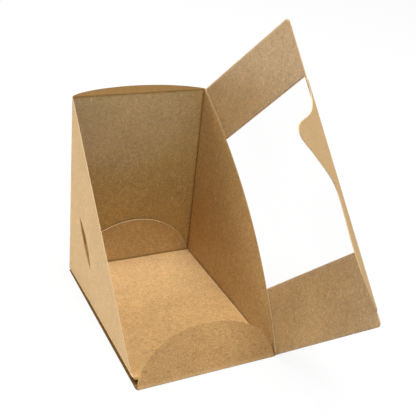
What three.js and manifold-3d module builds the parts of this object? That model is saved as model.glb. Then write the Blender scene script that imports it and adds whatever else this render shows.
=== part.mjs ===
// A takeaway sandwich pack of folded brown board, standing open.
// It is a wedge: a flat base, a back wall and two three-cornered sides, with a sloping lid that
// swings on the right side's long edge. The lid has a window, and a closing flap with a tongue
// runs along its free edge. Millimetres, +Z up. X runs across the pack, Y from front to back.

import * as THREE from 'three';
import { mergeVertices } from 'three/addons/utils/BufferGeometryUtils.js';
import Module from 'manifold-3d';

const wasm = await Module();
wasm.setup();

// The wedge, outside to outside, and the radius that the board takes outside its folds.
const packWidth = 88;
const baseDepth = 125;
const backHeight = 123;
const boardThickness = 0.5;
const foldRadius = 0.6;
const halfBoard = boardThickness / 2;
const middleRadius = foldRadius - halfBoard;

// How far runs of board reach into each other before they are joined.
const overlap = 0.2;

// The right side springs outward between its two folds, most at the middle of its long edge.
const sideBow = 8.35;

// The inner floor lies over the base and rides a little higher along the left side.
const floorGap = 0.9;
const floorLift = 2;
const floorSetback = 4.5;
const floorCornerRadius = 2;
const floorSideClearance = 0.4;
const rearFlapHeight = 30.9;
const glueBite = 0.02;

// The left side is cut shorter than the right one at the front.
const leftSideSetback = 9.5;

// The slit for the tongue, in the left side: its lower and upper ends, and how far it stands open.
const slitLowEnd = new THREE.Vector2(81.4, 24.6);
const slitLength = 35.6;
const slitTurnDeg = 48.7;
const slitBow = 0.6;
const slitOpening = 2;

// The curved flaps at the front and at the top of the back wall.
const frontFlapHeight = 27;
const frontFlapLeanDeg = 43.5;
const frontFlapCrest = 48;
const rightShoulderReach = 14;
const rightShoulderSwell = 0.6;
const leftShoulderReach = 22;
const leftShoulderSwell = 2.2;
const topFlapHeight = 26;
const topFlapDroopDeg = 12;

// The lid and its window. Lengths along the lid start at the front lower end of its fold.
const lidWidth = 88.4;
const lidOpenDeg = 99.2;
const lidEndInset = 0.8;
const lidCornerRadius = 2.5;
const lowerBandHeight = 40.3;
const upperBandHeight = 36.5;
const hingeRise = 0.5;
const lidClearance = 0.4;
const lidFoldGap = 0.45;
const windowEdgeStrip = 1;

// The clear film glued behind the window.
const filmThickness = 0.15;
const filmClearance = 0.3;
const filmOverlap = 3;
const filmFoldMargin = 2.6;
const filmEdgeMargin = 0.5;

// The closing flap: a narrow band along the lid's free edge that widens into the tongue.
const flapFoldGap = 0.2;
const flapFoldedDeg = 58;
const flapStart = 9;
const flapBandWidth = 11;
const flapEndWidth = 1.6;
const tongueLowRoot = 74;
const tongueHighRoot = 122;
const tongueCentre = 94.5;
const tongueLength = 51.5;
const tongueTipWidth = 9;
const tongueFootReach = 10;
const flapEnd = 137;
const flapEndRound = 4;
const flapSwellReach = 20;

// Fineness of the curved parts.
const bowSteps = 14;
const lidSteps = 20;
const foldSteps = 3;
const curveSteps = 10;

const boardOutside = new THREE.MeshStandardMaterial({ color: 0xc49a66, roughness: 0.85, metalness: 0 });
const boardLid = new THREE.MeshStandardMaterial({ color: 0xb48a58, roughness: 0.85, metalness: 0 });
const boardFlap = new THREE.MeshStandardMaterial({ color: 0xd0aa7a, roughness: 0.85, metalness: 0 });
const clearFilm = new THREE.MeshStandardMaterial({
  color: 0xf4f6f6, roughness: 0.08, metalness: 0, transparent: true, opacity: 0.2,
});

const across = new THREE.Vector3(1, 0, 0);
const back = new THREE.Vector3(0, 1, 0);
const up = new THREE.Vector3(0, 0, 1);

// The long sloping edge: its length, the way up along it and the way straight out of the opening.
const slopeLength = Math.hypot(baseDepth, backHeight);
const slope = new THREE.Vector3(0, baseDepth, backHeight).divideScalar(slopeLength);
const slopeOut = new THREE.Vector3(0, -backHeight, baseDepth).divideScalar(slopeLength);

function toSolid(geometry) {
  const bare = geometry.clone();
  bare.deleteAttribute('normal');
  bare.deleteAttribute('uv');
  const merged = mergeVertices(bare, 1e-4);
  const mesh = new wasm.Mesh({
    numProp: 3,
    vertProperties: new Float32Array(merged.attributes.position.array),
    triVerts: new Uint32Array(merged.index.array),
  });
  mesh.merge();
  return new wasm.Manifold(mesh);
}

function toGeometry(solid) {
  const mesh = solid.getMesh();
  const geometry = new THREE.BufferGeometry();
  geometry.setAttribute('position', new THREE.BufferAttribute(mesh.vertProperties, 3));
  geometry.setIndex(new THREE.BufferAttribute(mesh.triVerts, 1));
  geometry.computeVertexNormals();
  return geometry;
}

function joined(solids) {
  return solids.reduce((whole, next) => whole.add(next));
}

// Moves every corner of a geometry by a rule that is given the corner's place.
function reshape(geometry, rule) {
  const position = geometry.attributes.position;
  const corner = new THREE.Vector3();
  for (let i = 0; i < position.count; i += 1) {
    corner.fromBufferAttribute(position, i);
    rule(corner);
    position.setXYZ(i, corner.x, corner.y, corner.z);
  }
  return geometry;
}

// An outline drawn on two directions and given thickness along the third, from an origin.
function slab(outline, thickness, origin, first, second, steps = 1) {
  const third = first.clone().cross(second);
  const geometry = new THREE.ExtrudeGeometry(outline, {
    depth: thickness, steps, bevelEnabled: false, curveSegments: curveSteps,
  });
  const place = new THREE.Matrix4().makeBasis(first, second, third).setPosition(origin);
  return geometry.applyMatrix4(place);
}

// The section of a strip of board that is folded as it goes: straight runs and round folds,
// followed along the middle of the board's thickness. A positive fold turns to the left.
function foldedSection(start, headingDeg, moves) {
  const point = start.clone();
  let heading = THREE.MathUtils.degToRad(headingDeg);
  const leftFace = [];
  const rightFace = [];
  const mark = () => {
    const left = new THREE.Vector2(-Math.sin(heading), Math.cos(heading));
    leftFace.push(point.clone().addScaledVector(left, halfBoard));
    rightFace.push(point.clone().addScaledVector(left, -halfBoard));
  };
  mark();
  for (const { run, parts = 1, foldDeg } of moves) {
    if (run !== undefined) {
      for (let i = 0; i < parts; i += 1) {
        point.x += Math.cos(heading) * run / parts;
        point.y += Math.sin(heading) * run / parts;
        mark();
      }
    } else {
      const turn = THREE.MathUtils.degToRad(foldDeg) / foldSteps;
      const chord = 2 * middleRadius * Math.sin(Math.abs(turn) / 2);
      for (let i = 0; i < foldSteps; i += 1) {
        heading += turn / 2;
        point.x += Math.cos(heading) * chord;
        point.y += Math.sin(heading) * chord;
        heading += turn / 2;
        mark();
      }
    }
  }
  return { outline: new THREE.Shape([...rightFace, ...leftFace.reverse()]), end: point };
}

// A block between two corners.
function block(low, high) {
  const size = high.clone().sub(low);
  const middle = low.clone().add(high).multiplyScalar(0.5);
  return new THREE.BoxGeometry(size.x, size.y, size.z).translate(middle.x, middle.y, middle.z);
}

// A shallow arched outline on a straight root, the full width of the flap.
function archOutline(left, right, height) {
  const halfChord = (right - left) / 2;
  const radius = (halfChord * halfChord + height * height) / (2 * height);
  const centre = new THREE.Vector2((left + right) / 2, height - radius);
  const halfAngle = Math.asin(halfChord / radius);
  const outline = new THREE.Shape();
  outline.moveTo(left, -overlap);
  outline.lineTo(right, -overlap);
  outline.absarc(centre.x, centre.y, radius, Math.PI / 2 - halfAngle, Math.PI / 2 + halfAngle, false);
  return outline;
}

// How far the right side stands out at a place on it.
function bowOut(corner) {
  const fromBack = Math.max(0, (baseDepth - corner.y) / baseDepth);
  const fromBase = Math.max(0, corner.z / backHeight);
  corner.x += 4 * sideBow * fromBack * fromBase;
}

// How far the inner floor and the left side are lifted off the base.
function liftUp(corner) {
  const share = 1 - (Math.max(0, corner.y) / baseDepth) ** 4;
  const level = 1 - corner.z / backHeight;
  corner.z += floorLift * share * level * (1 - corner.x / packWidth);
}

// Everything on the outer side of a sloping line, from one side of the pack to the other.
function aboveSlope(lowY, lowZ, rise, fromX, toX) {
  const reach = 40;
  const line = new THREE.Vector2(baseDepth - lowY, backHeight - lowZ).normalize();
  const out = new THREE.Vector2(-line.y, line.x);
  const low = new THREE.Vector2(lowY, lowZ).addScaledVector(out, rise).addScaledVector(line, -reach);
  const high = new THREE.Vector2(baseDepth, backHeight).addScaledVector(out, rise)
    .addScaledVector(line, reach);
  const outline = new THREE.Shape([
    low, high, high.clone().addScaledVector(out, backHeight),
    low.clone().addScaledVector(out, backHeight),
  ]);
  return toSolid(slab(outline, toX - fromX, new THREE.Vector3(fromX, 0, 0), back, up));
}

// Base, back wall and the folds at the front, the rear and the top, as one bent strip.
function spine() {
  const lean = frontFlapLeanDeg;
  const headingDeg = 180 + lean;
  const heading = THREE.MathUtils.degToRad(headingDeg);
  const start = new THREE.Vector2(
    foldRadius + middleRadius * Math.sin(heading),
    foldRadius - middleRadius * Math.cos(heading),
  );
  const section = foldedSection(start, headingDeg, [
    { foldDeg: 180 - lean },
    { run: baseDepth - 2 * foldRadius },
    { foldDeg: 90 },
    { run: backHeight - 2 * foldRadius },
    { foldDeg: -(90 + topFlapDroopDeg) },
  ]);
  const width = packWidth - foldRadius;
  const strip = toSolid(slab(section.outline, width, new THREE.Vector3(), back, up));
  const corner = toSolid(block(
    new THREE.Vector3(-1, baseDepth - 2 * foldRadius, foldRadius),
    new THREE.Vector3(foldRadius, baseDepth + 40, backHeight + 1),
  ));
  return { solid: strip.subtract(corner), frontFold: start, topFold: section.end };
}

// The front flap leans back over the floor. Its right shoulder is fuller than its left one.
function frontFlap(fold) {
  const lean = THREE.MathUtils.degToRad(frontFlapLeanDeg);
  const along = new THREE.Vector3(0, Math.cos(lean), Math.sin(lean));
  const out = across.clone().cross(along);
  const left = foldRadius;
  const right = packWidth - boardThickness - floorSideClearance;
  const top = frontFlapHeight;
  const outline = new THREE.Shape();
  outline.moveTo(left, -overlap);
  outline.lineTo(right, -overlap);
  outline.lineTo(right, 0);
  outline.bezierCurveTo(
    right + rightShoulderSwell, top * 0.7, right - rightShoulderReach, top, frontFlapCrest, top,
  );
  outline.bezierCurveTo(
    left + leftShoulderReach, top, left + leftShoulderSwell, top * 0.48, left, 0,
  );
  const origin = new THREE.Vector3(0, fold.x, fold.y).addScaledVector(out, -halfBoard);
  return toSolid(slab(outline, boardThickness, origin, across, along));
}

// The top flap is bent back past level behind the back wall.
function topFlap(fold) {
  const droop = THREE.MathUtils.degToRad(topFlapDroopDeg);
  const along = new THREE.Vector3(0, Math.cos(droop), -Math.sin(droop));
  const out = across.clone().cross(along);
  const outline = archOutline(foldRadius, packWidth - foldRadius, topFlapHeight);
  const origin = new THREE.Vector3(0, fold.x, fold.y).addScaledVector(out, -halfBoard);
  return toSolid(slab(outline, boardThickness, origin, across, along));
}

// The right side with its upright fold to the back wall and its fold to the base.
function rightSide() {
  const upright = foldedSection(
    new THREE.Vector2(packWidth - foldRadius - overlap, baseDepth - halfBoard),
    0,
    [{ run: overlap }, { foldDeg: -90 }, { run: baseDepth - foldRadius + 2, parts: bowSteps }],
  );
  const wallLow = new THREE.Vector3(0, 0, foldRadius - overlap / 2);
  const wallRise = backHeight - wallLow.z;
  const wall = reshape(slab(upright.outline, wallRise, wallLow, across, back, bowSteps), bowOut);
  const foot = foldedSection(
    new THREE.Vector2(packWidth - foldRadius - overlap, halfBoard),
    0,
    [{ run: overlap }, { foldDeg: 90 }, { run: overlap }],
  );
  const footRun = baseDepth - 2 * foldRadius;
  const footBack = new THREE.Vector3(0, baseDepth - foldRadius, 0);
  const fold = reshape(slab(foot.outline, footRun, footBack, across, up, bowSteps), bowOut);
  const open = aboveSlope(0, 0, hingeRise, packWidth / 2, packWidth * 1.5);
  return toSolid(wall).subtract(open).add(toSolid(fold));
}

// The slit is a thin lens between two shallow curves that bow away from the sloping edge.
function slit() {
  const turn = THREE.MathUtils.degToRad(slitTurnDeg);
  const high = slitLowEnd.clone();
  high.x += Math.cos(turn) * slitLength;
  high.y += Math.sin(turn) * slitLength;
  const middle = slitLowEnd.clone().add(high).multiplyScalar(0.5);
  const inward = new THREE.Vector2(Math.sin(turn), -Math.cos(turn));
  const near = middle.clone().addScaledVector(inward, 2 * slitBow);
  const far = middle.clone().addScaledVector(inward, 2 * (slitBow + slitOpening));
  const outline = new THREE.Shape();
  outline.moveTo(slitLowEnd.x, slitLowEnd.y);
  outline.quadraticCurveTo(far.x, far.y, high.x, high.y);
  outline.quadraticCurveTo(near.x, near.y, slitLowEnd.x, slitLowEnd.y);
  const depth = 4 * boardThickness;
  const origin = new THREE.Vector3(-depth / 2, 0, 0);
  return toSolid(slab(outline, depth, origin, back, up));
}

// The left side and the inner floor are one bent strip, with the slit and the sloping cut.
function leftSideAndFloor() {
  const floorZ = boardThickness + floorGap;
  const floorReach = packWidth - boardThickness - floorSideClearance;
  const section = foldedSection(new THREE.Vector2(halfBoard, backHeight), 270, [
    { run: backHeight - floorZ - foldRadius },
    { foldDeg: 90 },
    { run: floorReach - foldRadius },
  ]);
  const rear = new THREE.Vector3(0, baseDepth - foldRadius, 0);
  const run = baseDepth - foldRadius - floorSetback;
  const strip = toSolid(reshape(slab(section.outline, run, rear, across, up, bowSteps), liftUp));
  const slopingCut = aboveSlope(leftSideSetback, floorZ + floorLift, 0, -20, foldRadius);
  const radius = floorCornerRadius;
  const frontLeft = new THREE.Vector2(foldRadius, floorSetback);
  const cornerCut = new THREE.Shape();
  cornerCut.moveTo(-1, floorSetback - 1);
  cornerCut.lineTo(frontLeft.x + radius, floorSetback - 1);
  cornerCut.lineTo(frontLeft.x + radius, frontLeft.y);
  cornerCut.absarc(frontLeft.x + radius, frontLeft.y + radius, radius, -Math.PI / 2, -Math.PI, true);
  cornerCut.lineTo(-1, frontLeft.y + radius);
  const corner = toSolid(slab(cornerCut, 4 * floorLift, new THREE.Vector3(), across, back));
  const upright = foldedSection(new THREE.Vector2(halfBoard, baseDepth - foldRadius - overlap), 90, [
    { run: overlap }, { foldDeg: -90 }, { run: overlap },
  ]);
  const foot = new THREE.Vector3(0, 0, floorZ + foldRadius);
  const rise = backHeight - foldRadius - foot.z;
  const rearFold = toSolid(reshape(slab(upright.outline, rise, foot, across, back), liftUp));
  return joined([strip.subtract(slopingCut).subtract(corner).subtract(slit()), rearFold]);
}

// The rear flap of the inner floor is folded up and glued to the back wall.
function rearFlap() {
  const floorZ = boardThickness + floorGap;
  const left = foldRadius + floorSideClearance;
  const right = packWidth - boardThickness - floorSideClearance;
  const faceY = baseDepth - boardThickness + glueBite;
  const fold = foldedSection(
    new THREE.Vector2(faceY - foldRadius - overlap, floorZ + halfBoard),
    0,
    [{ run: overlap }, { foldDeg: 90 }, { run: overlap }],
  );
  const bend = slab(fold.outline, right - left, new THREE.Vector3(left, 0, 0), back, up);
  const outline = archOutline(left, right, rearFlapHeight);
  const root = new THREE.Vector3(0, faceY, floorZ + foldRadius);
  const plate = slab(outline, boardThickness, root, across, up);
  return toSolid(bend).add(toSolid(plate));
}

function trayGeometry() {
  const { solid, frontFold, topFold } = spine();
  return toGeometry(joined([
    solid, frontFlap(frontFold), topFlap(topFold), rightSide(), leftSideAndFloor(), rearFlap(),
  ]));
}

// The lid's own directions as it stands open: across it from its fold, and out of its face.
const openAngle = THREE.MathUtils.degToRad(lidOpenDeg);
const lidAcross = across.clone().multiplyScalar(-Math.cos(openAngle))
  .addScaledVector(slopeOut, Math.sin(openAngle));
const lidOut = slope.clone().cross(lidAcross);
const lidFold = new THREE.Vector3(packWidth, 0, 0).addScaledVector(slopeOut, hingeRise);
const windowLow = lowerBandHeight;
const windowHigh = slopeLength - upperBandHeight;

// A place on the lid: s up along its fold, w across from the fold, h out of its inner side. Along
// the fold the lid follows the bowed side, and its free edge is straight.
function onLid(corner) {
  const s = corner.x;
  const w = corner.y;
  const h = corner.z;
  const along = s / slopeLength;
  const bow = 4 * sideBow * Math.max(0, along * (1 - along)) * (1 - w / lidWidth);
  corner.copy(lidFold).addScaledVector(slope, s).addScaledVector(lidAcross, w)
    .addScaledVector(lidOut, h);
  corner.x += bow;
}

function lidPatch(low, high) {
  const size = high.clone().sub(low);
  const middle = low.clone().add(high).multiplyScalar(0.5);
  const flat = new THREE.BoxGeometry(size.x, size.y, size.z, lidSteps, 3, 1);
  flat.translate(middle.x, middle.y, middle.z);
  return toSolid(reshape(flat, onLid));
}

// One outer corner of the lid, outside its rounding. turn is +1 at the top end, -1 at the bottom.
function lidCorner(s, turn) {
  const edge = lidWidth - flapFoldGap;
  const radius = lidCornerRadius;
  const outline = new THREE.Shape();
  outline.moveTo(s + turn, edge + 1);
  outline.lineTo(s + turn, edge - radius);
  outline.lineTo(s, edge - radius);
  outline.absarc(s - turn * radius, edge - radius, radius, turn > 0 ? 0 : Math.PI, Math.PI / 2, turn < 0);
  outline.lineTo(s - turn * radius, edge + 1);
  const origin = new THREE.Vector3(0, 0, lidClearance - 1);
  const piece = slab(outline, boardThickness + 2, origin, across, back);
  return toSolid(reshape(piece, onLid));
}

function lidGeometry() {
  const inner = lidClearance;
  const outer = lidClearance + boardThickness;
  const low = lidEndInset;
  const high = slopeLength - lidEndInset;
  const edge = lidWidth - flapFoldGap;
  const panel = lidPatch(
    new THREE.Vector3(low, lidFoldGap, inner),
    new THREE.Vector3(high, edge, outer),
  );
  const opening = lidPatch(
    new THREE.Vector3(windowLow, -1, inner - 1),
    new THREE.Vector3(windowHigh, edge - windowEdgeStrip, outer + 1),
  );
  return toGeometry(
    panel.subtract(opening).subtract(lidCorner(low, -1)).subtract(lidCorner(high, 1)),
  );
}

function filmGeometry() {
  const outer = lidClearance - filmClearance;
  return toGeometry(lidPatch(
    new THREE.Vector3(windowLow - filmOverlap, filmFoldMargin, outer - filmThickness),
    new THREE.Vector3(windowHigh + filmOverlap, lidWidth - filmEdgeMargin, outer),
  ));
}

// The closing flap, drawn with its length along the fold and its width out from it.
function closingFlapGeometry() {
  const outline = new THREE.Shape();
  const root = flapFoldGap;
  const band = flapBandWidth;
  const half = tongueTipWidth / 2;
  const highFoot = tongueHighRoot - tongueFootReach;
  const lowSide = tongueCentre - 1.8 * half;
  const lowFoot = tongueLowRoot - flapEndRound;
  const swell = flapStart + flapSwellReach;
  outline.moveTo(flapStart, root);
  outline.lineTo(flapEnd, root);
  outline.quadraticCurveTo(flapEnd, flapEndWidth, flapEnd - flapEndRound, flapEndWidth);
  outline.bezierCurveTo(
    tongueHighRoot, flapEndWidth, highFoot + flapEndRound, band, highFoot, 0.36 * tongueLength,
  );
  outline.bezierCurveTo(
    tongueCentre + 2.4 * half, 0.6 * tongueLength, tongueCentre + 1.4 * half, tongueLength,
    tongueCentre, tongueLength,
  );
  outline.bezierCurveTo(
    tongueCentre - half, tongueLength, tongueCentre - 1.2 * half, 0.8 * tongueLength,
    lowSide, 0.68 * tongueLength,
  );
  outline.bezierCurveTo(
    tongueLowRoot + 5, 0.32 * tongueLength, tongueLowRoot + 3, band, lowFoot, band - 1.5,
  );
  outline.bezierCurveTo(
    lowFoot - flapSwellReach, band - 2, swell + flapSwellReach, band + 3, swell, band - 1,
  );
  outline.bezierCurveTo(
    swell - 8, band - 3, flapStart + flapEndRound, 0.3 * band, flapStart, root,
  );
  const folded = THREE.MathUtils.degToRad(flapFoldedDeg);
  const along = lidAcross.clone().multiplyScalar(Math.cos(folded))
    .addScaledVector(lidOut, -Math.sin(folded));
  const origin = lidFold.clone().addScaledVector(lidAcross, lidWidth)
    .addScaledVector(lidOut, lidClearance);
  return toGeometry(toSolid(slab(outline, boardThickness, origin, slope, along)));
}

function piece(name, geometry, material) {
  const mesh = new THREE.Mesh(geometry, material);
  mesh.name = name;
  return mesh;
}

const pack = new THREE.Group();
pack.position.set(-packWidth / 2, -baseDepth / 2, 0);
pack.add(piece('tray', trayGeometry(), boardOutside));
pack.add(piece('lid', lidGeometry(), boardLid));
pack.add(piece('window_film', filmGeometry(), clearFilm));
pack.add(piece('closing_flap', closingFlapGeometry(), boardFlap));

const object = new THREE.Group();
object.add(pack);

export default object;
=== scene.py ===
import math

import bpy
import numpy as np
from mathutils import Matrix, Vector


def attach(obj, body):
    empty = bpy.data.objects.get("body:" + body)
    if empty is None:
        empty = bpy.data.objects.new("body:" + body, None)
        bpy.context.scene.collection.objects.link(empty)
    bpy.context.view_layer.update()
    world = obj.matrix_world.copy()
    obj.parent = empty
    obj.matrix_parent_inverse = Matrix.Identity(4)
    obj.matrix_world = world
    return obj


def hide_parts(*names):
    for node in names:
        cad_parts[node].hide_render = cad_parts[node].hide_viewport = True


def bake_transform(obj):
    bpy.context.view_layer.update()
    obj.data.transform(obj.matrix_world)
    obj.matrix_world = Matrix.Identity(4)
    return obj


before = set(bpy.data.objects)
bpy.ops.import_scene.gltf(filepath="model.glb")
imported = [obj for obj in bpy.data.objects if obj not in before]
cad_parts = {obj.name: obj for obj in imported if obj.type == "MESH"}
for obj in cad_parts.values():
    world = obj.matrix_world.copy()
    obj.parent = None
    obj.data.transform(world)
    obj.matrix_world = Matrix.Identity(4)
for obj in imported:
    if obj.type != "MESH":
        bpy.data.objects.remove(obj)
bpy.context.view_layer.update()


# The camera looks down into the open pack from its front left, a little turned on its axis,
# at the angle of the photograph.
camera_data = bpy.data.cameras.new("camera")
camera_data.lens = 63.08
camera_data.sensor_width = 36.0
camera_data.clip_start = 0.01
camera_data.clip_end = 20.0
camera = bpy.data.objects.new("camera", camera_data)
bpy.context.scene.collection.objects.link(camera)
azimuth, elevation, roll = (math.radians(angle) for angle in (-29.294, 27.827, 6.649))
backward = Vector((
    math.sin(azimuth) * math.cos(elevation),
    -math.cos(azimuth) * math.cos(elevation),
    math.sin(elevation),
))
level = Vector((math.cos(azimuth), math.sin(azimuth), 0.0))
upright = backward.cross(level)
camera_x = level * math.cos(roll) + upright * math.sin(roll)
camera_y = upright * math.cos(roll) - level * math.sin(roll)
turned = Matrix((camera_x, camera_y, backward)).transposed().to_4x4()
camera.matrix_world = Matrix.Translation((-0.16769, -0.33785, 0.27515)) @ turned
bpy.context.scene.camera = camera


# A pale table top and a white surround, lit by a broad lamp overhead and a softer one from the
# back left. The white of the surround is only what the camera and reflections see.
def area_lamp(name, place, target, size, watts):
    """A soft lamp, its size given across and along, turned so that it shines at its target."""
    lamp = bpy.data.lights.new(name, "AREA")
    lamp.shape = "RECTANGLE"
    lamp.size, lamp.size_y = size
    lamp.energy = watts
    holder = bpy.data.objects.new(name, lamp)
    bpy.context.scene.collection.objects.link(holder)
    holder.location = place
    toward = Vector(target) - Vector(place)
    holder.rotation_mode = "QUATERNION"
    holder.rotation_quaternion = toward.to_track_quat("-Z", "Y")
    return holder


area_lamp("overhead_light", (0.08, -0.05, 1.8), (0.0, 0.0, 0.05), (0.9, 0.40), 36.0)
area_lamp("window_light", (-1.0, 1.0, 1.1), (0.0, 0.0, 0.05), (0.9, 0.9), 18.0)


def new_node(tree, kind, **values):
    """A shader node with its settings, and its input sockets set by name."""
    made = tree.nodes.new(kind)
    for key, value in values.items():
        if hasattr(made, key):
            setattr(made, key, value)
        else:
            made.inputs[key.replace("_", " ")].default_value = value
    return made


def arithmetic(tree, operation, *terms, **values):
    """The result of a maths node; each of its terms is a socket or a number."""
    made = new_node(tree, "ShaderNodeMath", operation=operation, **values)
    for socket, term in zip(made.inputs, terms):
        if isinstance(term, bpy.types.NodeSocket):
            tree.links.new(term, socket)
        else:
            socket.default_value = term
    return made.outputs[0]


def white_where_seen(tree, share, lit, white, out):
    """Mixes a share of plain white into a lit shader, only for what looks at the background.

    That is the camera, a reflection and a look through the film. The light on the pack stays that
    of the lit shader.
    """
    path = new_node(tree, "ShaderNodeLightPath")
    seen = path.outputs["Is Camera Ray"]
    for ray in ("Is Glossy Ray", "Is Transmission Ray"):
        seen = arithmetic(tree, "MAXIMUM", seen, path.outputs[ray])
    blend = new_node(tree, "ShaderNodeMixShader")
    tree.links.new(arithmetic(tree, "MULTIPLY", seen, share), blend.inputs["Fac"])
    tree.links.new(lit.outputs[0], blend.inputs[1])
    tree.links.new(white.outputs[0], blend.inputs[2])
    tree.links.new(blend.outputs[0], out.inputs["Surface"])


plain_white = (1.0, 1.0, 1.0, 1.0)
world = bpy.data.worlds.new("white_surround")
bpy.context.scene.world = world
world.use_nodes = True
sky = world.node_tree
sky.nodes.clear()
room_light = new_node(sky, "ShaderNodeBackground", Color=plain_white, Strength=0.06)
seen_white = new_node(sky, "ShaderNodeBackground", Color=plain_white, Strength=1.0)
sky_out = new_node(sky, "ShaderNodeOutputWorld")
white_where_seen(sky, 1.0, room_light, seen_white, sky_out)

table_paint = bpy.data.materials.new("pale_table")
table_paint.use_nodes = True
table_tree = table_paint.node_tree
table_shader = table_tree.nodes["Principled BSDF"]
table_shader.inputs["Base Color"].default_value = (0.85, 0.85, 0.85, 1.0)
table_shader.inputs["Roughness"].default_value = 0.9
table_white = new_node(table_tree, "ShaderNodeEmission", Color=plain_white, Strength=1.0)
table_out = table_tree.nodes["Material Output"]
white_where_seen(table_tree, 0.90, table_shader, table_white, table_out)
table_half, table_height = 6.0, -0.0002
table_mesh = bpy.data.meshes.new("table")
corners = [(-1, -1), (1, -1), (1, 1), (-1, 1)]
table_mesh.from_pydata(
    [(x * table_half, y * table_half, table_height) for x, y in corners], [], [(0, 1, 2, 3)],
)
table = bpy.data.objects.new("table", table_mesh)
table.data.materials.append(table_paint)
bpy.context.scene.collection.objects.link(table)


# The floor of the pack, its front flap, its back wall and its top flap: one strip of half
# millimetre brown board, creased and folded round four small folds. Its flaps have arched edges.
pack_width, pack_depth, pack_height = 88.0, 125.0, 123.0
board = 0.5
fold_radius = 0.35
fold_in = 0.6
rear_fold_y = 124.4
strip_right, strip_gap = 87.4, 0.6
flap_lean, flap_height, flap_crest, flap_right = math.radians(43.5), 27.0, 47.96, 87.1
top_droop, top_height, top_fold = math.radians(12.0), 26.0, (125.1, 122.4)


def to_frame(points):
    """Millimetres from the pack's front left corner, turned into metres in the row frame."""
    return (points - np.array([pack_width / 2, pack_depth / 2, 0.0])) * 0.001


def bezier(corners, count=200):
    """Points on a cubic curve through the first and last of four corners."""
    t = np.linspace(0.0, 1.0, count)[:, None]
    a, b, c, d = (np.array(corner, float) for corner in corners)
    return (1 - t) ** 3 * a + 3 * t * (1 - t) ** 2 * b + 3 * t * t * (1 - t) * c + t ** 3 * d


def board_sheet(name, middle, fold, inside=1, present=None, painted_shade=None, gloss=None):
    """A closed sheet from the grid of its middle surface, rows by columns by three, in millimetres.

    Each grid point gives two points, half a thickness to either side along the cross product of
    the grid's column and row directions. Quads cover both sides of the cells that are present, and
    a wall closes every edge between a cell that is present and one that isn't. fold is 0 to 1 for
    each point, 1 on a crease. inside is +1 where the first side is the inner face of the pack.
    The painted shade mark is 1 as a rule, falls towards 0 where shade is painted and to -1 in
    narrow gaps.
    gloss is the weight of the clear coat on the inner face, 1 as a rule.
    """
    rows, columns = middle.shape[:2]
    along_rows = np.gradient(middle, axis=0)
    along_columns = np.gradient(middle, axis=1)
    out = np.cross(along_columns, along_rows)
    out /= np.maximum(np.linalg.norm(out, axis=2, keepdims=True), 1e-9)
    points = np.stack([middle + out * board / 2, middle - out * board / 2])
    if present is None:
        present = np.ones((rows - 1, columns - 1), bool)
    number = np.arange(rows * columns).reshape(rows, columns)
    other = rows * columns
    a, b, c, d = number[:-1, :-1], number[:-1, 1:], number[1:, 1:], number[1:, :-1]
    first = np.stack([a, b, c, d], axis=-1)[present]
    second = np.stack([d, c, b, a], axis=-1)[present] + other
    padded = np.pad(present, 1)
    walls = []
    sides = (
        (a, b, padded[:-2, 1:-1]), (b, c, padded[1:-1, 2:]),
        (c, d, padded[2:, 1:-1]), (d, a, padded[1:-1, :-2]),
    )
    for start, end, neighbour in sides:
        open_side = present & ~neighbour
        p, q = start[open_side], end[open_side]
        walls.append(np.stack([q, p, p + other, q + other], axis=-1))
    walls = np.concatenate(walls)
    faces = np.concatenate([first, second, walls])
    used, faces = np.unique(faces, return_inverse=True)
    faces = faces.reshape(-1, 4)
    mesh = bpy.data.meshes.new(name)
    places = to_frame(points.reshape(-1, 3)[used])
    mesh.from_pydata(places.tolist(), [], faces.tolist())
    even = np.ones(middle.shape[:2])
    point_marks = {
        "crease": fold,
        "painted_shade": even if painted_shade is None else painted_shade,
        "gloss": even if gloss is None else gloss,
    }
    for mark, values in point_marks.items():
        attribute = mesh.attributes.new(mark, "FLOAT", "POINT")
        attribute.data.foreach_set("value", np.tile(values.ravel(), 2)[used].astype(np.float32))
    kinds = np.repeat([0, 1, 2], [len(first), len(second), len(walls)])
    face_marks = {"cut_edge": kinds == 2, "inner_face": kinds == (0 if inside > 0 else 1)}
    for mark, values in face_marks.items():
        attribute = mesh.attributes.new(mark, "FLOAT", "FACE")
        attribute.data.foreach_set("value", values.astype(np.float32))
    mesh.polygons.foreach_set("use_smooth", kinds < 2)
    mesh.validate()
    sheet = bpy.data.objects.new(name, mesh)
    bpy.context.scene.collection.objects.link(sheet)
    return sheet


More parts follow.
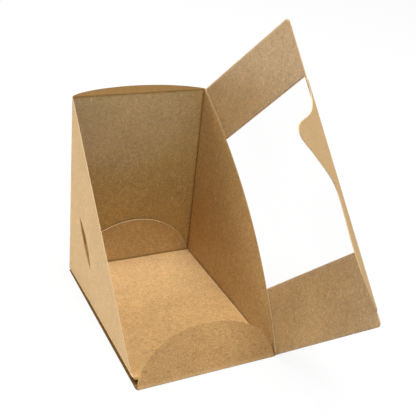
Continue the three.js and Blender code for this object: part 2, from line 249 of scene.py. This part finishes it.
def fibre_group():
    """Brown board seen close: clouds, mottling and fine grain, with sparse hairs and specks.

    Takes a fineness that multiplies every scale. Gives the clouds, the mottling and the grain as
    values round 0.5, the dark and the pale marks as masks, and a height for the bump.
    """
    group = bpy.data.node_groups.new("board_fibres", "ShaderNodeTree")
    side = group.interface
    side.new_socket("Fineness", in_out="INPUT", socket_type="NodeSocketFloat").default_value = 1.0
    for name in ("Cloud", "Mottle", "Grain", "Dark marks", "Pale marks", "Height"):
        side.new_socket(name, in_out="OUTPUT", socket_type="NodeSocketFloat")
    put = group.links.new
    entry = group.nodes.new("NodeGroupInput")
    leave = group.nodes.new("NodeGroupOutput")
    place = new_node(group, "ShaderNodeTexCoord")
    scaled = new_node(group, "ShaderNodeVectorMath", operation="SCALE")
    put(place.outputs["Object"], scaled.inputs[0])
    put(entry.outputs["Fineness"], scaled.inputs["Scale"])
    grains = {}
    for name, scale in (("Cloud", 55.0), ("Mottle", 420.0), ("Grain", 1600.0)):
        noise = new_node(group, "ShaderNodeTexNoise", Scale=scale, Detail=3.0, Roughness=0.6)
        put(scaled.outputs[0], noise.inputs["Vector"])
        put(noise.outputs["Fac"], leave.inputs[name])
        grains[name] = noise.outputs["Fac"]

    def hairs(turn, stretch, scale, low):
        """Short hairs: noise drawn out along one direction, kept only where it peaks."""
        turned = new_node(group, "ShaderNodeMapping", Rotation=turn)
        turned.inputs["Scale"].default_value = stretch
        put(scaled.outputs[0], turned.inputs["Vector"])
        noise = new_node(group, "ShaderNodeTexNoise", Scale=scale, Detail=1.0, Roughness=0.5)
        put(turned.outputs[0], noise.inputs["Vector"])
        peak = new_node(group, "ShaderNodeMapRange", interpolation_type="SMOOTHSTEP")
        peak.inputs["From Min"].default_value = low
        peak.inputs["From Max"].default_value = low + 0.08
        put(noise.outputs["Fac"], peak.inputs["Value"])
        return peak.outputs[0]

    def specks(scale, share, size):
        """Round specks: the few cells whose random number is under a share, near their centres."""
        cells = new_node(group, "ShaderNodeTexVoronoi", Scale=scale)
        put(scaled.outputs[0], cells.inputs["Vector"])
        split = new_node(group, "ShaderNodeSeparateColor")
        put(cells.outputs["Color"], split.inputs["Color"])
        chosen = arithmetic(group, "LESS_THAN", split.outputs[0], share)
        near = new_node(group, "ShaderNodeMapRange", interpolation_type="SMOOTHSTEP")
        near.inputs["From Min"].default_value = size
        near.inputs["From Max"].default_value = size * 0.3
        put(cells.outputs["Distance"], near.inputs["Value"])
        return arithmetic(group, "MULTIPLY", chosen, near.outputs[0])

    def larger(first, second):
        """The larger of two masks."""
        return arithmetic(group, "MAXIMUM", first, second)

    along_x, along_y, along_z = (0.22, 1.0, 1.0), (1.0, 0.22, 1.0), (1.0, 1.0, 0.22)
    dark_hairs = larger(
        hairs((0.3, 0.5, 0.2), along_y, 1300.0, 0.66),
        hairs((0.9, 0.1, 1.2), along_x, 1100.0, 0.67),
    )
    pale_hairs = larger(
        hairs((0.1, 1.1, 0.7), along_z, 1200.0, 0.64),
        hairs((1.3, 0.4, 0.1), along_x, 1500.0, 0.65),
    )
    spots = larger(specks(520.0, 0.022, 0.34), specks(75.0, 0.03, 0.055))
    put(larger(dark_hairs, spots), leave.inputs["Dark marks"])
    put(larger(pale_hairs, specks(610.0, 0.016, 0.30)), leave.inputs["Pale marks"])
    put(arithmetic(group, "ADD", grains["Grain"], grains["Mottle"]), leave.inputs["Height"])
    return group


board_fibres = fibre_group()


def board_finish(name, inner, outer=(0.69, 0.465, 0.235)):
    """Brown board: matt outside, with a thin clear coat inside, paler where cut or creased.

    The colour is the face's own, times the clouds, the mottling and the grain, with the dark and
    pale marks mixed in. Painted shade darkens it in one step as the shade mark falls from 1 to 0
    and in another from 0 to -1. The coat's weight is the inner face's gloss times the shade mark,
    so painted shade thins the coat too. The grain also gives the fine bump.
    """
    finish = bpy.data.materials.new(name)
    finish.use_nodes = True
    tree = finish.node_tree
    put = tree.links.new
    shader = tree.nodes["Principled BSDF"]
    shader.inputs["Specular IOR Level"].default_value = 0.2
    shader.inputs["Coat Roughness"].default_value = 0.34
    shader.inputs["Coat IOR"].default_value = 1.65
    fibres = tree.nodes.new("ShaderNodeGroup")
    fibres.node_tree = board_fibres
    inner_face, cut_edge, crease, painted_shade, gloss = (
        new_node(tree, "ShaderNodeAttribute", attribute_name=mark).outputs["Fac"]
        for mark in ("inner_face", "cut_edge", "crease", "painted_shade", "gloss")
    )

    def mix(kind, fac, first, second):
        """A colour mix of a kind; each of fac, first and second is a socket or a constant."""
        made = new_node(tree, "ShaderNodeMix", data_type="RGBA", blend_type=kind)
        for socket, value in ((0, fac), (6, first), (7, second)):
            if isinstance(value, bpy.types.NodeSocket):
                put(value, made.inputs[socket])
            else:
                made.inputs[socket].default_value = value
        return made.outputs[2]

    def ramp(name, low, high):
        """One of the fibres' values, which lie round 0.5, spread to the range from low to high."""
        made = new_node(tree, "ShaderNodeMapRange", To_Min=low, To_Max=high)
        made.inputs["From Min"].default_value = 0.36
        made.inputs["From Max"].default_value = 0.64
        put(fibres.outputs[name], made.inputs["Value"])
        return made.outputs[0]

    plain = mix("MIX", inner_face, (*outer, 1.0), (*inner, 1.0))
    grainy = plain
    for name, spread in (("Cloud", 0.05), ("Mottle", 0.08), ("Grain", 0.25)):
        grainy = mix("MULTIPLY", 1.0, grainy, ramp(name, 1.0 - spread, 1.0 + spread))
    dark_brown, straw = (0.13, 0.072, 0.028, 1.0), (0.84, 0.66, 0.42, 1.0)
    pale_edge = (0.74, 0.54, 0.31, 1.0)
    for name, weight, mark in (("Dark marks", 0.38, dark_brown), ("Pale marks", 0.42, straw)):
        strength = arithmetic(tree, "MULTIPLY", fibres.outputs[name], weight)
        grainy = mix("MIX", strength, grainy, mark)
    outer_face = arithmetic(tree, "SUBTRACT", 1.0, inner_face)
    smooth = arithmetic(tree, "MULTIPLY", outer_face, painted_shade)
    rough_share = arithmetic(tree, "MULTIPLY_ADD", smooth, -0.5, 1.0)
    colour = mix("MIX", rough_share, plain, grainy)
    colour = mix("MIX", arithmetic(tree, "MULTIPLY", crease, 0.4), colour, pale_edge)
    colour = mix("MIX", cut_edge, colour, pale_edge)
    # Painted shade: the colour is drawn towards a shade tint as the shade mark falls from 1 to 0,
    # and towards a deeper shade tint from 0 to -1.
    shade, deep_shade = (0.60, 0.51, 0.36, 1.0), (0.45, 0.38, 0.28, 1.0)
    for top, tint in ((1.0, shade), (0.0, deep_shade)):
        colour = mix("MULTIPLY", arithmetic(tree, "SUBTRACT", top, painted_shade), colour, tint)
    put(colour, shader.inputs["Base Color"])
    coat = arithmetic(tree, "MULTIPLY", inner_face, painted_shade, use_clamp=True)
    put(arithmetic(tree, "MULTIPLY", coat, gloss), shader.inputs["Coat Weight"])
    put(ramp("Grain", 0.78, 0.92), shader.inputs["Roughness"])
    bump = new_node(tree, "ShaderNodeBump", Strength=0.35, Distance=0.00012)
    put(fibres.outputs["Height"], bump.inputs["Height"])
    put(bump.outputs[0], shader.inputs["Normal"])
    return finish


def arc(centre, radius, start, end, count=7):
    """Points on a round fold about its centre; the angles run from +Y towards +Z, in degrees."""
    angle = np.radians(np.linspace(start, end, count))
    return np.array(centre) + radius * np.stack([np.cos(angle), np.sin(angle)], axis=1)


def near_fold(distance, reach=0.9):
    """1 on a crease, falling smoothly to 0 at its reach, in millimetres."""
    return np.clip(1.0 - np.abs(distance) / reach, 0.0, 1.0) ** 1.5


def long_strip():
    """The strip's profile in Y and Z, carried across X between a left and a right edge.

    The front flap's two edges are cubic curves that meet at its crest, the top flap is the arc of
    a circle, and the runs between them are straight. A slow wave of a few tenths of a millimetre
    takes the stiffness out of the back wall and the front flap, and the top flap is twisted a
    little, higher at the right. Painted shade darkens the front flap, and more deeply the top flap
    and the base in the gap along its left edge and at its front left corner. The coat weighs less
    below a wavy line three fifths of the way up the wall, which paints a sheen above that line.
    """
    high = flap_height * np.sin(np.linspace(0.5 * np.pi, 0.0, 46))
    high[0] = flap_height * 0.9995
    lean = np.array([math.cos(flap_lean), math.sin(flap_lean)])
    front_fold = np.array([fold_in, fold_in]) + fold_radius * np.array([-lean[1], lean[0]])
    front = front_fold + high[:, None] * lean
    front_turn = arc((fold_in, fold_in), fold_radius, 90.0 + math.degrees(flap_lean), 270.0, 9)[1:]
    base_y = np.linspace(fold_in, rear_fold_y, 90)[1:]
    base = np.stack([base_y, np.full(89, board / 2)], axis=1)
    rear_turn = arc((rear_fold_y, fold_in), fold_radius, -90.0, 0.0)[1:]
    wall_z = np.linspace(fold_in, top_fold[1], 90)[1:]
    wall = np.stack([np.full(89, pack_depth - board / 2), wall_z], axis=1)
    top_turn = arc(top_fold, fold_radius, 180.0, 90.0 - math.degrees(top_droop))[1:]
    reach = top_height * np.sin(np.linspace(0.0, 0.5 * np.pi, 40))[1:]
    reach[-1] = top_height * 0.9995
    droop = np.array([math.cos(top_droop), -math.sin(top_droop)])
    top = top_turn[-1] + reach[:, None] * droop
    profile = np.concatenate([front, front_turn, base, rear_turn, wall, top_turn, top])

    crest = (flap_crest, flap_height)
    left_cut = bezier([(strip_gap, 0.0), (2.8, 0.48 * flap_height), (22.6, flap_height), crest])
    right_cut = bezier([(flap_right, 0.0), (87.7, 0.7 * flap_height), (73.1, flap_height), crest])
    half = (pack_width - 2 * strip_gap) / 2
    radius = (half * half + top_height ** 2) / (2 * top_height)
    arch = np.sqrt(np.maximum(radius ** 2 - (reach + radius - top_height) ** 2, 0.25))
    runs = [len(front_turn), len(base), len(rear_turn) + len(wall) + len(top_turn)]
    left = np.concatenate([
        np.interp(high, left_cut[:, 1], left_cut[:, 0]), np.full(runs[0], strip_gap),
        np.full(runs[1], 0.0), np.full(runs[2], strip_gap), pack_width / 2 - arch,
    ])
    right = np.concatenate([
        np.interp(high, right_cut[:, 1], right_cut[:, 0]), np.full(runs[0], flap_right),
        np.full(runs[1] + runs[2], strip_right), pack_width / 2 + arch,
    ])
    right[0], left[0] = flap_crest + 0.8, flap_crest - 0.8
    share = np.linspace(0.0, 1.0, 72)
    x = left[:, None] + (right - left)[:, None] * share
    middle = np.empty((len(profile), len(share), 3))
    middle[..., 0] = x
    middle[..., 1:] = profile[:, None, :]
    length = np.concatenate([[0.0], np.cumsum(np.linalg.norm(np.diff(profile, axis=0), axis=1))])
    ends = np.cumsum([len(front), len(front_turn), len(base), len(rear_turn), len(wall)])
    into_flap, into_wall = np.array([-lean[1], lean[0]]), np.array([-1.0, 0.0])
    runs_in_waves = ((0, ends[0], 0.35, into_flap), (ends[3], ends[4], 0.45, into_wall))
    for first, last, depth, out in runs_in_waves:
        t = (length[first:last] - length[first]) / (length[last - 1] - length[first])
        sideways = np.sin(np.pi * share + 0.4) * np.sin(np.pi * share)
        lift = depth * np.outer(np.sin(np.pi * t), sideways)
        middle[first:last, :, 1:] += lift[..., None] * out
    twist = 1.9 * x[-len(reach):] / pack_width - 0.6
    middle[-len(reach):, :, 2] += reach[:, None] / top_height * twist
    folds = np.array([length[ends[0] + 3], length[ends[2] + 3], length[ends[4] + 3]])
    crease = near_fold(length[:, None] - folds[None, :]).max(axis=1)
    # Painted shade: the front flap is darkened, the top flap more, and the base in the gap along
    # its left edge and at its front left corner.
    changes = [folds[0] - 2, folds[0] + 2, folds[2] - 1, folds[2]]
    painted_shade = np.interp(length, changes, [0.12, 1.0, 1.0, -0.8])
    across = np.ones((1, len(share)))
    painted_shade = painted_shade[:, None] * across
    under_floor = slice(ends[1] - 2, ends[2])
    y = middle[under_floor, :, 1]
    edge_gap_shade = np.clip((x[under_floor] - 1.5) / 2.0, -0.6, 1.0)
    front_gap_shade = np.clip((np.hypot(x[under_floor], y) - 12.0) / 2.0, -0.8, 1.0)
    painted_shade[under_floor] = np.minimum(edge_gap_shade, front_gap_shade)
    # A painted sheen: the coat on the back wall weighs more above this wavy line than below it.
    painted_sheen_line = 74.0 + 3.0 * np.sin(x / 9.0) + 2.0 * np.sin(x / 3.7 + 1.0)
    gloss = 0.35 + 0.50 * np.clip((middle[..., 2] - painted_sheen_line) / 9.0 + 0.5, 0.0, 1.0)
    return middle, crease[:, None] * across, painted_shade, gloss


strip_middle, strip_crease, strip_painted_shade, strip_gloss = long_strip()
strip = board_sheet(
    "base_back_and_flaps", strip_middle, strip_crease, inside=1, painted_shade=strip_painted_shade, gloss=strip_gloss,
)
strip_board = board_finish("strip_board", inner=(0.525, 0.350, 0.124))
strip.data.materials.append(strip_board)
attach(strip, "tray")
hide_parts("tray")


# The right side of the pack, a three-cornered wall of the same board. It is folded up from the
# base and from the back wall, and springs outward in between.
side_bow = 8.35
crease_y = 124.6
slope_length = math.hypot(pack_depth, pack_height)
slope = np.array([0.0, pack_depth, pack_height]) / slope_length
slope_out = np.array([0.0, -pack_height, pack_depth]) / slope_length


def right_side():
    """Columns run from front to back and round the rear fold, rows from the base fold to the slope.

    The wall lies at the right edge, less a quarter round at each fold. It stands out by a product
    that is nought at the base and at the back wall and greatest halfway up the sloping edge.
    Painted shade darkens the sloping edge and the rear fold.
    """
    y_flat = np.linspace(0.3, rear_fold_y, 110)
    turn = np.linspace(0.0, 0.5 * np.pi, 7)[1:]
    y = np.concatenate([y_flat, rear_fold_y + fold_radius * np.sin(turn)])
    rear = np.concatenate([np.zeros(len(y_flat)), fold_radius * (1 - np.cos(turn))])
    rise = np.minimum((0.5 + y * -slope_out[1]) / slope_out[2], pack_height)
    foot = np.linspace(0.5 * np.pi, 0.0, 6)
    share = np.linspace(0.0, 1.0, 80)[1:]
    foot_z = np.repeat((fold_in - fold_radius * np.sin(foot))[:, None], len(y), axis=1)
    wall_z = fold_in + share[:, None] * np.maximum(rise - fold_in, 0.05)
    z = np.concatenate([foot_z, wall_z])
    low = np.concatenate([fold_radius * (1 - np.cos(foot)), np.zeros(len(share))])
    middle = np.empty((len(z), len(y), 3))
    middle[..., 0] = pack_width - board / 2 - rear - low[:, None]
    middle[..., 0] += 4 * side_bow * np.clip(1 - y / pack_depth, 0, None) * z / pack_height
    middle[..., 1] = y
    middle[..., 2] = z
    crease = np.maximum(near_fold(z - 0.5), np.broadcast_to(near_fold(y - crease_y), z.shape))
    # Painted shade along the sloping edge and at the rear fold.
    slope_edge_shade = np.interp(rise - z, [0.3, 0.9], [0.35, 1.0])
    rear_fold_shade = np.interp(np.abs(y - crease_y + 0.1), [0.3, 1.2], [-0.2, 1.0])
    return middle, crease, np.minimum(slope_edge_shade, rear_fold_shade)


side_middle, side_crease, side_painted_shade = right_side()
side_gloss = np.full(side_painted_shade.shape, 0.6)
side = board_sheet("right_side", side_middle, side_crease, -1, painted_shade=side_painted_shade, gloss=side_gloss)
side_board = board_finish("side_board", inner=(0.540, 0.335, 0.126))
side.data.materials.append(side_board)
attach(side, "tray")


# The left side and the inner floor are one more run of board: down from the top of the back wall,
# folded at the bottom and across the base. The slit in the side takes the lid's tongue.
floor_lift, floor_z = 2.0, 1.65
floor_fold_z = floor_z + fold_radius
floor_front, floor_back, floor_right, floor_corner = 4.5, 123.2, 87.1, 2.0
side_front, slope_foot, side_run = 9.5, 3.4, 115.5 / 119.6
slit_low, slit_turn, slit_length = np.array([81.4, 24.6]), math.radians(48.7), 35.6


def left_side_and_floor():
    """Rows go down the side, round the fold and over the floor; columns from front to back.

    The side's front edge is the sloping line. One pair of columns follows the slit and stands
    apart by a shallow lens between its ends, where the cells are left out, and the front lip is
    pressed in by a millimetre. All of it is lifted off the base by a share that falls to nought at
    the back, at the top and at the right. Painted shade darkens the floor, most at its front edge
    and less and less towards the back, and its free edge at the right is left unshaded and pale.
    """
    z_side = np.concatenate([
        np.linspace(pack_height, 52.0, 60), np.linspace(51.3, slit_low[1], 40),
        np.linspace(24.0, floor_fold_z, 30),
    ])
    turn = np.linspace(0.0, 0.5 * np.pi, 7)[1:]
    corner_x = fold_in + floor_corner
    x_floor = np.concatenate([
        np.linspace(fold_in, corner_x, 12)[1:], np.linspace(corner_x, floor_right, 70)[1:],
    ])
    x = np.concatenate([
        np.full(len(z_side), board / 2), fold_in - fold_radius * np.cos(turn), x_floor,
    ])
    z = np.concatenate([
        z_side, floor_fold_z - fold_radius * np.sin(turn), np.full(len(x_floor), floor_z),
    ])
    on_side = len(z_side)
    lifted = z + floor_lift * (1 - z / pack_height)
    front = np.minimum(side_front + (lifted - slope_foot) * side_run, 124.1)
    corner = np.clip(corner_x - x, 0.0, floor_corner)
    round_y = floor_front + floor_corner
    rounding = np.sqrt(np.maximum(floor_corner ** 2 - corner[on_side:] ** 2, 0.0))
    front[on_side:] = round_y - rounding
    front[on_side:on_side + 6] = np.linspace(front[on_side - 1], round_y, 8)[1:-1]
    behind = np.full(len(x), rear_fold_y)
    behind[on_side:] = floor_back
    slit_y = slit_low[0] + (z - slit_low[1]) / math.tan(slit_turn)
    depth = behind - front
    slit_y = np.clip(slit_y, front + 0.15 * depth, front + 0.8 * depth)
    along = (z - slit_low[1]) / (slit_length * math.sin(slit_turn))
    along[on_side:] = -1.0
    lens = np.clip(4 * along * (1 - along), 0.0, 1.0)
    gap = np.minimum(0.06 + 3.4 * lens, 0.5 * depth)
    slit_y = slit_y + 1.9 * lens
    before = np.linspace(0.0, 1.0, 46)[:, None]
    after = np.linspace(0.0, 1.0, 30)[:, None]
    y_before = front + before * (slit_y - gap / 2 - front)
    y_after = slit_y + gap / 2 + after * (behind - slit_y - gap / 2)
    bend = np.linspace(0.0, 0.5 * np.pi, 7)[1:, None]
    rounded = np.where(np.arange(len(x)) < on_side, fold_radius, 0.1)
    y_round = behind + rounded * np.sin(bend)
    y = np.concatenate([y_before, y_after, y_round]).T
    middle = np.empty((*y.shape, 3))
    middle[..., 0] = x[:, None]
    inward = np.where(np.arange(len(x)) < on_side, fold_radius, 0.0)
    middle[:, -6:, 0] += inward[:, None] * (1 - np.cos(bend.T))
    to_lip = (slit_y - gap / 2)[:, None] - y[:, :46]
    middle[:, :46, 0] += 1.1 * lens[:, None] * np.exp(-(to_lip / 7.0) ** 2)
    middle[..., 1] = y
    middle[..., 2] = z[:, None]
    lift = 1 - np.clip(y / pack_depth, 0, 1) ** 4
    lift *= (1 - z / pack_height)[:, None] * (1 - x / pack_width)[:, None]
    middle[..., 2] += floor_lift * lift
    present = np.ones((len(x) - 1, y.shape[1] - 1), bool)
    in_slit = (along[:-1] < 1.0) & (along[1:] > 0.0) & (along[:-1] > 0.0)
    present[in_slit, 45] = False
    run = np.concatenate([[0.0], np.cumsum(np.hypot(np.diff(x), np.diff(z)))])
    crease = np.repeat(near_fold(run - run[on_side + 3])[:, None], y.shape[1], axis=1)
    crease[:on_side] = np.maximum(crease[:on_side], near_fold(y[:on_side] - crease_y))
    painted_shade = np.ones(y.shape)
    # Painted shade on the floor: deepest at its front edge, less and less towards the back.
    floor_shade_ramp = ([5.2, 7.0, 62.0, 118.0], [-0.2, 0.35, 0.45, 1.0])
    painted_shade[on_side + 6:] = np.interp(y[on_side + 6:], *floor_shade_ramp)
    crease = np.maximum(crease, near_fold(floor_right - x, 1.1)[:, None] * (y > 8.0))
    painted_shade[-1] = 1.0
    return middle, crease, present, painted_shade


left_middle, left_crease, left_present, left_painted_shade = left_side_and_floor()
left = board_sheet("left_side_and_floor", left_middle, left_crease, -1, left_present, left_painted_shade)
left_board = board_finish("left_board", inner=(0.64, 0.415, 0.190))
left.data.materials.append(left_board)
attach(left, "tray")


# The rear flap of the inner floor, folded up and glued to the back wall. Its arched edge is cut
# and stands a shade off the wall.
def rear_flap():
    """A profile round the fold and up the back wall, between the two ends of a circle's arc.

    Towards the arched edge the flap leans off the wall by up to a millimetre. Painted shade darkens
    its fold.
    """
    height, lowest = 30.9, 1.0
    half = (floor_right - lowest) / 2
    radius = (half * half + height ** 2) / (2 * height)
    rise = height * np.sin(np.linspace(0.0, 0.5 * np.pi, 50))[1:]
    rise[-1] = height * 0.9995
    fold_y, lean_off = 123.92, 1.1
    turn = arc((fold_y, floor_fold_z), fold_radius, -90.0, 0.0)
    start = np.array([[floor_back + 0.1, floor_z]])
    wall_y = fold_y + fold_radius - lean_off * (rise / height) ** 3
    wall = np.stack([wall_y, floor_fold_z + rise], axis=1)
    profile = np.concatenate([start, turn, wall])
    reach = np.concatenate([
        np.full(len(turn) + 1, half),
        np.sqrt(np.maximum(radius ** 2 - (rise + radius - height) ** 2, 0.36)),
    ])
    share = np.linspace(-1.0, 1.0, 80)
    middle = np.empty((len(profile), len(share), 3))
    middle[..., 0] = (lowest + floor_right) / 2 + reach[:, None] * share
    middle[..., 1:] = profile[:, None, :]
    length = np.concatenate([[0.0], np.cumsum(np.linalg.norm(np.diff(profile, axis=0), axis=1))])
    across = np.ones((1, len(share)))
    crease = near_fold(length - length[4])[:, None] * across
    # Painted shade at the fold.
    painted_shade = np.interp(length - length[4], [-0.2, 1.4], [-0.4, 1.0])[:, None] * across
    return middle, crease, painted_shade


flap_middle, flap_crease, flap_painted_shade = rear_flap()
rear = board_sheet("rear_flap", flap_middle, flap_crease, inside=1, painted_shade=flap_painted_shade)
rear_board = board_finish("rear_board", inner=(0.60, 0.415, 0.172))
rear.data.materials.append(rear_board)
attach(rear, "tray")


# The lid swings on the long edge of the right side. It is two bands of board above and below the
# window, and a narrow strip along the free edge joins them. Its fold bends with the bowed side.
lid_open = math.radians(99.2)
lid_across = -math.cos(lid_open) * np.array([1.0, 0.0, 0.0]) + math.sin(lid_open) * slope_out
lid_out = np.cross(slope, lid_across)
lid_fold = np.array([pack_width, 0.0, 0.0]) + 0.5 * slope_out
lid_width, lid_edge = 88.4, 88.2
window_low, window_high = 40.3, slope_length - 36.5
lid_low, lid_high = 0.8, slope_length - 0.8
lid_corner, lid_strip = 2.5, 87.2


def on_lid(s, w, h):
    """A place on the lid: s up along its fold, w across from the fold, h out of its inner side.

    The lid follows the bowed side along the fold and is straight at its free edge.
    """
    bow = 4 * side_bow * np.clip(s / slope_length * (1 - s / slope_length), 0, None)
    bow = bow * (1 - w / lid_width)
    place = lid_fold + s[..., None] * slope + w[..., None] * lid_across + h[..., None] * lid_out
    place[..., 0] += bow
    return place


def lid_panel():
    """Rows go across the lid from the fold to the free edge, columns up along the fold.

    The first rows lead from the top of the right side over the crease. The window's cells are left
    out, and the outer corners are rounded by a quarter circle. Painted shade darkens the board a
    little along the crease, and on the lower band towards its free edge.
    """
    s = np.concatenate([
        np.linspace(lid_low, window_low, 34), np.linspace(window_low, window_high, 60)[1:],
        np.linspace(window_high, lid_high, 32)[1:],
    ])
    corner_w = lid_edge - lid_corner
    corner_turn = np.sin(np.linspace(0.1, 0.5 * np.pi, 9))
    w = np.concatenate([
        [0.0, 0.15, 0.4], np.linspace(0.7, 85.6, 66), corner_w + lid_corner * corner_turn,
    ])
    w = np.insert(w, np.searchsorted(w, lid_strip), lid_strip)
    past_corner = np.clip(w - corner_w, 0, lid_corner)
    round_off = lid_corner - np.sqrt(np.maximum(lid_corner ** 2 - past_corner ** 2, 0.0))
    low, high = lid_low + round_off[:, None], lid_high - round_off[:, None]
    s_low = low + (s - lid_low) * (window_low - low) / (window_low - lid_low)
    s_high = high - (lid_high - s) * (high - window_high) / (lid_high - window_high)
    grid_s = np.where(s < window_low, s_low, np.where(s > window_high, s_high, s))
    grid_w = np.repeat(w[:, None], len(s), axis=1)
    grid_h = np.full(grid_s.shape, 0.65)
    grid_h[1], grid_h[2] = 0.45, 0.6
    middle = on_lid(grid_s, grid_w, grid_h)
    middle[0] = on_lid(grid_s[0], grid_w[0] * 0.0, grid_h[0] * 0.0)
    middle[0, :, 0] -= 0.25
    middle[0] -= 0.05 * slope_out
    present = np.ones((len(w) - 1, len(s) - 1), bool)
    in_window = (s[:-1] >= window_low - 1e-6) & (s[1:] <= window_high + 1e-6)
    below = w[1:] <= lid_strip + 1e-6
    present[np.outer(below, in_window)] = False
    crease = np.maximum(near_fold(grid_w - 0.15, 0.4), near_fold(grid_w - lid_edge, 0.8))
    # Painted shade on the lower band, towards the free edge, and along the crease.
    low_band_shade = np.clip((window_low + 20.0 - grid_s) / 20.0, 0.0, 1.0)
    painted_shade = 1.0 - 0.30 * low_band_shade * np.clip(grid_w / 60.0, 0.0, 1.0)
    return middle, crease, present, np.minimum(painted_shade, np.interp(grid_w, [0.5, 1.3], [0.65, 1.0]))


lid_middle, lid_crease, lid_present, lid_painted_shade = lid_panel()
lid = board_sheet("lid_board", lid_middle, lid_crease, -1, lid_present, lid_painted_shade)
lid_finish = board_finish("lid_board_finish", inner=(0.515, 0.326, 0.140))
lid.data.materials.append(lid_finish)
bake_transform(lid)
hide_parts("lid")


# The closing flap along the lid's free edge: a narrow band of board that widens into the tongue
# for the slit. It is creased and folded inward.
flap_fold = math.radians(58.0)
flap_bend = 0.33
flap_along = math.cos(flap_fold) * lid_across - math.sin(flap_fold) * lid_out
flap_root = lid_fold + lid_width * lid_across + 0.4 * lid_out
flap_start = flap_root - 0.2 * lid_across


def closing_flap():
    """Columns go up along the flap's fold, rows out from it.

    The first rows follow the lid's plane and turn round the fold. From there the rows share out
    the width, which is read from the flap's cut outline: cubic curves along the band and tongue.
    """
    outline = np.concatenate([
        bezier([(9.0, 0.4), (13.0, 3.3), (21.0, 8.0), (29.0, 10.0)]),
        bezier([(29.0, 10.0), (49.0, 14.0), (50.0, 9.0), (70.0, 9.5)]),
        bezier([(70.0, 9.5), (77.0, 11.0), (79.0, 16.5), (86.4, 35.0)]),
        bezier([(86.4, 35.0), (89.1, 41.2), (90.0, 51.5), (94.5, 51.5)]),
        bezier([(94.5, 51.5), (100.8, 51.5), (105.3, 30.9), (112.0, 18.5)]),
        bezier([(112.0, 18.5), (116.0, 11.0), (122.0, 1.6), (133.0, 1.6)]),
        bezier([(133.0, 1.6), (135.5, 1.6), (137.0, 1.5), (137.0, 0.4)]),
    ])
    s = np.concatenate([
        np.linspace(9.0, 70.0, 60), np.linspace(70.0, 90.0, 50)[1:],
        np.linspace(90.0, 99.0, 30)[1:], np.linspace(99.0, 122.0, 50)[1:],
        np.linspace(122.0, 137.0, 16)[1:],
    ])
    width = np.maximum(np.interp(s, outline[:, 0], outline[:, 1]), 0.3)
    turn = np.linspace(0.0, flap_fold, 6)
    round_root = np.outer(np.sin(turn), lid_across) + np.outer(np.cos(turn), lid_out)
    round_root *= flap_bend
    first = flap_start + flap_bend * lid_out
    share = np.linspace(0.0, 1.0, 46)[1:]
    spread = share[:, None] * width
    flat = flap_root + round_root[-1] + spread[..., None] * flap_along
    lead = np.concatenate([first[None], flap_root + round_root])
    lead = np.repeat(lead[:, None, :], len(s), axis=1)
    middle = np.concatenate([lead, flat]) + s[None, :, None] * slope
    out_from = np.concatenate([np.zeros((len(lead), len(s))), spread])
    return middle, near_fold(out_from, 0.8)


tongue_middle, tongue_crease = closing_flap()
tongue = board_sheet("closing_flap_board", tongue_middle, tongue_crease, inside=-1)
flap_finish = board_finish(
    "flap_board_finish", inner=(0.53, 0.330, 0.140), outer=(0.64, 0.420, 0.200),
)
tongue.data.materials.append(flap_finish)
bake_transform(tongue)
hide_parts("closing_flap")


# The clear film behind the window, glued to the inner side of the bands. It is thin, glossy and
# all but invisible against the light.
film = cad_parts["window_film"]
film_finish = bpy.data.materials.new("clear_film")
film_finish.use_nodes = True
film_tree = film_finish.node_tree
film_shader = film_tree.nodes["Principled BSDF"]
film_shader.inputs["Base Color"].default_value = (0.70, 0.70, 0.70, 1.0)
film_shader.inputs["Specular IOR Level"].default_value = 0.5
film_link = film_tree.links.new
film_place = new_node(film_tree, "ShaderNodeTexCoord")
ripple = new_node(film_tree, "ShaderNodeTexNoise", Scale=24.0, Detail=1.0)
film_link(film_place.outputs["Object"], ripple.inputs["Vector"])
for socket, low, high in (("Alpha", 0.015, 0.04), ("Roughness", 0.06, 0.14)):
    spread = new_node(film_tree, "ShaderNodeMapRange", To_Min=low, To_Max=high)
    film_link(ripple.outputs["Fac"], spread.inputs["Value"])
    film_link(spread.outputs[0], film_shader.inputs[socket])
film_bump = new_node(film_tree, "ShaderNodeBump", Strength=0.15, Distance=0.0005)
film_link(ripple.outputs["Fac"], film_bump.inputs["Height"])
film_link(film_bump.outputs[0], film_shader.inputs["Normal"])
film.data.materials.clear()
film.data.materials.append(film_finish)


# The picture's own settings: plain colours as they are written.
bpy.context.scene.view_settings.view_transform = "Standard"
